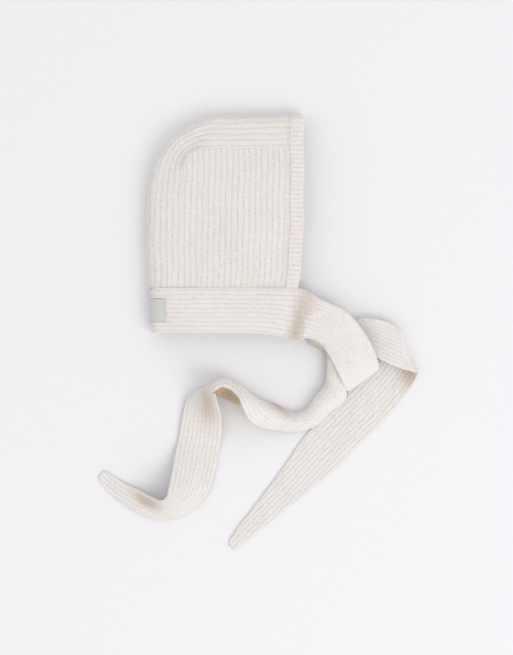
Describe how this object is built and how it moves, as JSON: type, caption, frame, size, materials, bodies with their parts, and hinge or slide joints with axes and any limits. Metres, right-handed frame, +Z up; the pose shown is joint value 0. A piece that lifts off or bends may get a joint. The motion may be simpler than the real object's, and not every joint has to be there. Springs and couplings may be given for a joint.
{
  "type": "baby bonnet, lying flat with its ties knotted",
  "caption": "Ribbed knitted baby bonnet on its side, with a wide neck band and tapering ties crossed in a half knot.",
  "frame": {"origin": "under the middle of the whole lying bonnet, on the table", "axes": "+X from the back of the hood towards its face edge, +Y from the ties' tips towards the crown, +Z up from the table"},
  "size_m": [0.3708, 0.499, 0.0518],
  "materials": {
    "panel_wool": "matte ribbed wool knit",
    "band_wool": "matte ribbed wool knit",
    "tie_wool": "matte ribbed wool knit",
    "label_cloth": "smooth woven tape"
  },
  "bodies": {
    "root": {"side_panel_upper": "panel_wool", "side_panel_lower": "panel_wool", "crown_panel": "panel_wool", "face_band": "band_wool", "neck_band": "band_wool", "tie_right": "tie_wool", "tie_left": "tie_wool", "label": "label_cloth"}
  },
  "joints": []
}
